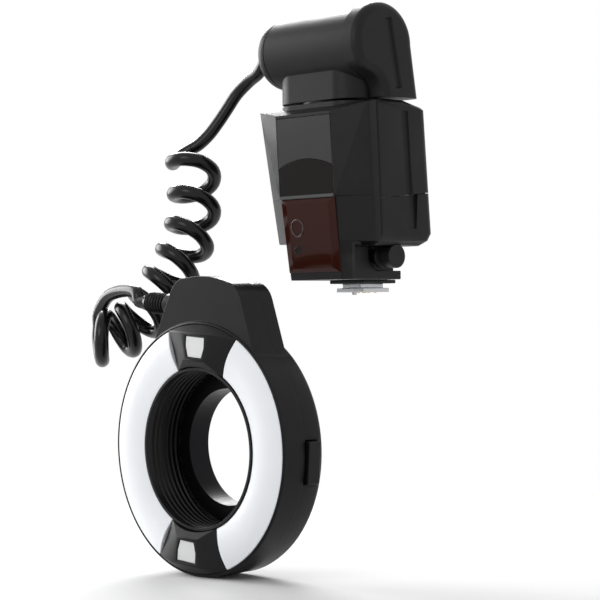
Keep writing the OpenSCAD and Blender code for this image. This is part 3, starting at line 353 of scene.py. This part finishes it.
solder_mask, tree, shader = new_finish("green_solder_mask", Roughness=0.35, IOR=1.5)
tracks = add_node(tree, "ShaderNodeTexBrick", {"offset": 0.5}, {
    "Vector": object_place(tree), "Scale": per_mm(6), "Color1": linear("#0f4a28"),
    "Color2": linear("#0d4124"), "Mortar": linear("#1a6a3c"), "Mortar Size": 0.03})
tree.links.new(tracks.outputs["Color"], shader.inputs["Base Color"])
capacitor_sleeve = polished("shrink_sleeve", "#191a3a", (0.25, 0.35), IOR=1.5)
print("metals:", steel.name, brass.name, anodised.name, mirror_sheet.name)

# %% [markdown]
# ## Dressing the solids
# Pieces that can't be seen from outside, or whose shape is already right, stay as they are and only get
# their finish. Each record slot names one finish.

# %% Dressing the solids
finish_of = {
    "steel": steel, "brass": brass, "black_shell": black_abs, "panel_grey": panel_paint,
    "dark_window": dark_acrylic, "trim_grey": trim_abs, "red_filter": red_acrylic,
    "lamp_white": lamp_white, "sensor_black": dark_acrylic, "cell_jacket": cell_jacket,
    "board_green": solder_mask, "capacitor_sleeve": capacitor_sleeve, "display_glass": display_acrylic,
    "key_grey": key_abs, "test_amber": amber_acrylic, "black_screw": oxide, "cord_black": cord_pvc,
    "ring_black": ring_abs, "sleeve_black": sleeve_abs, "diffuser_white": milky,
    "reflector_silver": mirror_sheet, "tube_glass": tube_glass, "lens_clear": lens_clear,
    "led_yellow": lamp_white, "adapter_black": anodised,
}
slot_of = {part["node"]: part["material_slot"] for part in frame["record"]["subparts"]}
for node, solid in frame["nodes"].items():
    solid.data.materials.clear()
    solid.data.materials.append(finish_of[slot_of[node]])
# The swivel washer is steel too, but it gets the black oxide finish as painted shade, so that the seam under
# the neck stays dark.
frame["nodes"]["swivel_washer"].data.materials[0] = oxide
print(len(slot_of), "solids dressed from", len(finish_of), "slots")

# %% [markdown]
# ## Helpers for pieces
# A piece made here takes the place of one or more CAD nodes, or is added to them. It gets its finish and its
# body, and it looks smooth where neighbouring faces turn by less than a given angle.

# %% Helpers for pieces
def finished_mesh(bm, name):
    """A bmesh as a mesh; the bmesh is freed."""
    mesh = bpy.data.meshes.new(name)
    bm.to_mesh(mesh)
    bm.free()
    return mesh


def add_piece(name, mesh, body, slot, stands_for, smooth=40):
    """Puts a finished mesh in the scene, on its body (or on none yet), in place of its CAD nodes."""
    mesh.materials.clear()
    mesh.materials.append(finish_of[slot])
    mesh.shade_smooth()
    mesh.set_sharp_from_angle(angle=math.radians(smooth))
    piece = bpy.data.objects.new(name, mesh)
    scene_objects.link(piece)
    if body:
        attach(piece, body)
    if stands_for:
        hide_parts(*stands_for)
    return piece


def stand_in(node, bm):
    """Puts a bmesh in place of one CAD node. Weighted normals keep big faces flat beside small roundings."""
    name, body = node + "_rounded", frame["nodes"][node]["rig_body"]
    piece = add_piece(name, finished_mesh(bm, name), body, slot_of[node], [node])
    piece.modifiers.new("flat_faces", "WEIGHTED_NORMAL").keep_sharp = True
    return piece


# %% [markdown]
# ## Cord
# A curve with a round section follows the line, and it is made a mesh. The lead and the curls are put on no
# body here.

# %% Cord
def cord_mesh(name, line, radii):
    """A round cord along a line, as a mesh."""
    curve = bpy.data.curves.new(name, "CURVE")
    curve.dimensions, curve.bevel_depth, curve.bevel_resolution = "3D", 1, 6
    curve.use_fill_caps = True
    strand = curve.splines.new("POLY")
    strand.points.add(len(line) - 1)
    for point, place, radius in zip(strand.points, line, radii):
        point.co, point.radius = (*place, 1), radius
    return bpy.data.meshes.new_from_object(bpy.data.objects.new(name + "_line", curve))


def curl_radius(i):
    """Thicker in the curls, thin where the straight stretches start and end."""
    tail_first = len(curl_line) - 1 - (len(tail_route) - 1) * line_steps
    ends = min(i, tail_first - i) / (2 * line_steps)
    return (lead_d + (curl_d - lead_d) * min(max(ends, 0), 1)) / 2


cord_smooth = 80  # only the cut ends look sharp
lead_mesh = cord_mesh("lead", lead_line, [lead_d / 2] * len(lead_line))
lead = add_piece("lead", lead_mesh, None, "cord_black", ["cord_lead"], cord_smooth)
curl_mesh = cord_mesh("curls", curl_line, map(curl_radius, range(len(curl_line))))
curly = add_piece("curly_cord_and_tail", curl_mesh, None, "cord_black", ["curly_cord", "cord_tail"],
                  cord_smooth)
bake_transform(lead)
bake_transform(curly)
print("cord", len(lead.data.polygons) + len(curly.data.polygons), "faces")

# %% [markdown]
# ## Rounded edges
# No moulded edge is razor sharp, and the thin bright lines along the edges are what makes plastic look
# moulded. A copy of the CAD mesh is merged, its flat triangles are joined to faces, and every edge that
# turns sharply is bevelled.

# %% Rounded edges
def bevel(bm, edges, width, steps):
    """Rounds edges; the width is in millimetres."""
    bmesh.ops.bevel(bm, geom=edges, offset=width * MM, offset_type="OFFSET", affect="EDGES",
                    segments=steps, profile=0.5, material=-1, clamp_overlap=False)


def rounded(node, width, steps=3, pick=None, flat=0.5, sharp=30, outer_only=False):
    """A copy of a CAD node whose edges are rounded where they turn more than sharp degrees. Pick tests an
    edge's middle, in millimetres. Neighbours that turn less than flat degrees become one face. With
    outer_only the hollow corners stay as they are, and with no width all edges do."""
    bm = bmesh.new()
    bm.from_mesh(frame["nodes"][node].data)
    bmesh.ops.remove_doubles(bm, verts=bm.verts, dist=0.002 * MM)
    bmesh.ops.dissolve_limit(bm, angle_limit=math.radians(flat), verts=bm.verts, edges=bm.edges)
    if width:
        edges = [e for e in bm.edges if e.is_manifold and e.calc_face_angle() > math.radians(sharp)
                 and (e.is_convex or not outer_only)
                 and (pick is None or pick((e.verts[0].co + e.verts[1].co) / 2 / MM))]
        bevel(bm, edges, width, steps)
    return stand_in(node, bm)


widths = {
    "shoe_collar": 0.4, "base_cover": 0.5, "battery_door": 0.12, "name_panel": 0.15, "dark_window": 0.2,
    "trim_bar": 0.2, "top_collar": 0.5, "lock_button": 0.5, "mode_key": 0.4, "minus_key": 0.4,
    "plus_key": 0.4, "lamp_key": 0.4, "test_button": 0.4, "power_switch": 0.3, "lcd_window": 0.3,
    "turret": 0.3, "head_rear_cover": 0.3, "cable_gland": 0.25, "ring_front_shell": 0.4,
    "bore_sleeve": 0.16, "top_lamp_bezel": 0.3, "bottom_lamp_bezel": 0.3, "lamp_lenses": 0.3,
    "left_release_button": 0.5, "right_release_button": 0.5, "strain_relief": 0.12,
    "lens_adapter": 0.15, "left_diffuser": 0.4, "right_diffuser": 0.4, "shoe_foot": 0.25,
}
pieces = {node: rounded(node, width) for node, width in widths.items()}
# The left ear's big round edge is already in the solid, so it only gets smooth shading.
pieces["left_ear"] = rounded("left_ear", 0)
# The edges of the floor inside the ring's rear shell stay sharp; nobody sees them.
ring_floor_y, floor_reach = -84.6, 0.3
pieces["ring_rear_shell"] = rounded(
    "ring_rear_shell", 0.4, pick=lambda middle: abs(middle.y - ring_floor_y) > floor_reach)
# The release buttons have the same deep black as the sleeve.
for node in ("left_release_button", "right_release_button"):
    pieces[node].data.materials[0] = sleeve_abs
print(len(pieces), "pieces rounded or smoothed")

# %% [markdown]
# The two shells of the control unit are drawn from straight lines between a few rounded corners, so their
# big faces are very slightly twisted. A wider limit joins their slivers. The long groove in each side and
# the seam above the battery door keep their crisp edges.

# %% Shells of the control unit
side_groove = (32, 50), (-14, 2), (43, 87.5)  # from and to along x, y and z; x from the middle outwards
door_seam = (28, 50), (-60, 60), (42, 49)


def inside(place, spans):
    return all(low < value < high for value, (low, high) in zip(place, spans))


def away_from_seams(middle):
    """Whether an edge is at neither the side grooves nor the door's seam."""
    outwards = (abs(middle.x), middle.y, middle.z)
    return not inside(outwards, side_groove) and not inside(middle, door_seam)


for shell in ("front_shell", "rear_shell"):
    rounded(shell, 0.3, 2, away_from_seams, flat=1, outer_only=True)
# The red window's flat border is cut at a shallow angle, so shallower edges count as sharp.
rounded("red_window", 0.25, sharp=8)
print("shells and window rounded")

# %% [markdown]
# The right ear is the flat end cap of the head. Its chin sweeps back in one curve, so a spline gives that
# part of the outline. The outline is extruded to the cap's thickness and its rim gets a generous rounding,
# while the foot stays crisp.

# %% Right ear
ear_x, ear_thick, ear_radius, foot_z = 28.3, 10.2, 19.5, 92.2
face_x = ear_x + ear_thick
ear_middle = Vector((ear_x, -21.5, 117.5))
ear_round = [ear_middle + ear_radius * Vector((0, math.cos(a), math.sin(a)))
             for a in (math.radians(4 * i) for i in range(51))]
chin = ((-38.6, 107.9), (-36.3, 105.7), (-33, 104.2), (-29, 102.8), (-25.6, 100.9), (-23.4, 98),
        (-22.3, 95), (-22, foot_z))
ear_chin = route(ear_round[-1], *((ear_x, y, z) for y, z in chin))
ear_line = route((ear_x, 2, foot_z), *ear_round[:-1]) + smooth_line(ear_chin, 3)
ear = bmesh.new()
cap = ear.faces.new([ear.verts.new(place) for place in ear_line])
pulled = bmesh.ops.extrude_face_region(ear, geom=[cap])["geom"]
outer_verts = [v for v in pulled if isinstance(v, bmesh.types.BMVert)]
bmesh.ops.translate(ear, verts=outer_verts, vec=(ear_thick * MM, 0, 0))
bmesh.ops.recalc_face_normals(ear, faces=ear.faces)


def lowest_x(edge):
    """How far out the inner end of an edge is, in metres."""
    return min(v.co.x for v in edge.verts)


rim = [e for e in ear.edges
       if lowest_x(e) > (face_x - 0.5) * MM and max(v.co.z for v in e.verts) > (foot_z + 0.8) * MM]
bevel(ear, rim, 4.2, 8)
print("ear", len(ear_line), "points round,", len(ear.faces), "faces")

# %% [markdown]
# The grip groove runs down the ear's face with a slight lean. Four straight cuts across the flat face mark
# it out, and the face between them is inset and sunk, which gives it sloped walls.

# %% Grip groove of the right ear
def flat_faces():
    """The ear's faces that look straight outwards."""
    return [f for f in ear.faces if f.normal.x > 0.999]


groove_half, wall_width, groove_depth = 2.2 * MM, 0.9 * MM, 1.1 * MM
high, low = route((face_x, -19.3, 129.5), (face_x, -12.7, 96.2))
along = (low - high).normalized()
across = along.cross(Vector((1, 0, 0)))
cuts = ((high, along), (low, along), (high - groove_half * across, across),
        (high + groove_half * across, across))
for place, way in cuts:
    parts = dict.fromkeys(part for f in flat_faces() for part in (f, *f.edges, *f.verts))
    bmesh.ops.bisect_plane(ear, geom=list(parts), dist=0.001 * MM, plane_co=place, plane_no=way)
groove = min(flat_faces(), key=lambda f: (f.calc_center_bounds() - (high + low) / 2).length)
bmesh.ops.inset_individual(ear, faces=[groove], thickness=wall_width, depth=-groove_depth)
crisp = [e for e in ear.edges
         if e.calc_face_angle() > math.radians(30) and lowest_x(e) > (face_x - 0.1) * MM]
bevel(ear, crisp, 0.25, 2)
right_ear = stand_in("right_ear", ear)
print("right ear", len(right_ear.data.polygons), "faces")

# %% [markdown]
# ## Eyes in the red window
# Behind the red filter sit the focus lamp, whose round rim catches a thin light arc, and a small dark
# sensor. Both are turned parts, so a small circle is spun round an axis; a matrix that follows the lean of
# the window then puts them on its face.

# %% Eyes in the red window
def turn(axis, degrees):
    return Matrix.Rotation(math.radians(degrees), 4, axis)


def shift(x, y, z):
    return Matrix.Translation(Vector((x, y, z)) * MM)


panel_top, panel_lean = (0, -39.8, 87), 93.5  # the front's upper edge, and its lean in degrees
window_down, window_lean, proud = 42.1, 3.53, 0.5  # the window starts lower, leans more, stands out
window_place = (shift(*panel_top) @ turn("X", panel_lean) @ shift(0, -window_down, 0)
                @ turn("X", window_lean) @ shift(0, window_down, proud))
rim_sides, eye_sides, middle_height = 12, 48, 0.05


def eye(name, x, y, radius, rim, slot, filled):
    """A round rim on the window's face, with a flat middle if filled. Sizes in millimetres."""
    bm = bmesh.new()
    ring = bmesh.ops.create_circle(bm, segments=rim_sides, radius=rim * MM,
                                   matrix=shift(radius, 0, 0) @ turn("X", 90))["verts"]
    edges = list(dict.fromkeys(e for v in ring for e in v.link_edges))
    bmesh.ops.spin(bm, geom=ring + edges, cent=(0, 0, 0), axis=(0, 0, 1), dvec=(0, 0, 0),
                   angle=2 * math.pi, steps=eye_sides, use_merge=True)
    if filled:
        bmesh.ops.create_circle(bm, cap_ends=True, segments=eye_sides, radius=radius * MM,
                                matrix=shift(0, 0, middle_height))
    bmesh.ops.recalc_face_normals(bm, faces=bm.faces)
    bmesh.ops.transform(bm, matrix=window_place @ shift(x, y, 0), verts=bm.verts)
    return add_piece(name, finished_mesh(bm, name), "control_unit", slot, [])


lamp_rim = eye("focus_lamp_rim", -8.1, -56, 4.05, 0.45, "red_filter", False)
lamp_rim.data.materials[0] = eye_acrylic
sensor_rim = eye("sensor_eye", -9.1, -66.7, 1.9, 0.25, "sensor_black", True)
print("eyes", len(lamp_rim.data.polygons) + len(sensor_rim.data.polygons), "faces")

# %% [markdown]
# ## Floor
# The picture was taken on a white sweep: the floor keeps a soft shadow near the object and fades into a
# white background farther out.

# %% Floor
floor_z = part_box("ring_front_shell")[0].z - 0.1 * MM
fade_from, fade_to = 0.18, 0.45
bm = bmesh.new()
bmesh.ops.create_grid(bm, x_segments=1, y_segments=1, size=6, matrix=Matrix.Translation((0, 0, floor_z)))
floor = bpy.data.objects.new("floor", finished_mesh(bm, "floor"))
scene_objects.link(floor)
white_floor, tree, shader = new_finish("white_paper_sweep", Base_Color=linear("#f4f4f4"), Roughness=0.9)
far = add_node(tree, "ShaderNodeVectorMath", {"operation": "LENGTH"}, {0: object_place(tree)})
fade = add_node(tree, "ShaderNodeMapRange", {"interpolation_type": "SMOOTHSTEP"}, {
    "Value": far.outputs["Value"], "From Min": fade_from, "From Max": fade_to})
glow = add_node(tree, "ShaderNodeEmission", inputs={"Color": (1, 1, 1, 1), "Strength": 1})
mix = add_node(tree, "ShaderNodeMixShader", inputs={
    "Fac": fade.outputs["Result"], 1: shader.outputs["BSDF"], 2: glow.outputs["Emission"]})
tree.links.new(mix.outputs["Shader"], tree.nodes["Material Output"].inputs["Surface"])
floor.data.materials.append(white_floor)
print("floor at", round(floor_z, 4), "m")

# %% [markdown]
# ## Light
# The world looks white to the camera, in reflections and through clear pieces, and lights the object more
# gently. A large soft lamp stands at the left, one behind it to the left, and a weak one fills from the
# front.

# %% Light
world = bpy.data.worlds.new("studio")
bpy.context.scene.world = world
world.use_nodes = True
tree = world.node_tree
rays = add_node(tree, "ShaderNodeLightPath")
sees_white = rays.outputs["Is Camera Ray"]
for ray in ("Is Transmission Ray", "Is Glossy Ray"):
    sees_white = add_node(tree, "ShaderNodeMath", {"operation": "MAXIMUM"}, {
        0: sees_white, 1: rays.outputs[ray]}).outputs["Value"]
gentle, white = 0.38, 1
level = map_range(tree, sees_white, (0, 1), (gentle, white))
tree.links.new(level, tree.nodes["Background"].inputs["Strength"])
tree.nodes["Background"].inputs["Color"].default_value = (1, 1, 1, 1)
lamp_aim = Vector((0, -0.05, 0))


def soft_lamp(name, place, size, watts):
    """A round lamp, aimed at the middle of the object; place and size in metres."""
    lamp = bpy.data.objects.new(name, bpy.data.lights.new(name, "AREA"))
    lamp.data.shape, lamp.data.size, lamp.data.energy = "DISK", size, watts
    lamp.location = place
    lamp.rotation_euler = (lamp_aim - Vector(place)).to_track_quat("-Z", "Y").to_euler()
    scene_objects.link(lamp)


soft_lamp("left_softbox", (-1.2, -0.3, 0.35), 0.9, 11.5)
soft_lamp("rear_softbox", (-0.95, 0.65, 0.8), 0.8, 20)
soft_lamp("front_fill", (0.1, -1.3, 0.6), 0.8, 4.4)
print(len(bpy.data.lights), "lamps in the scene")
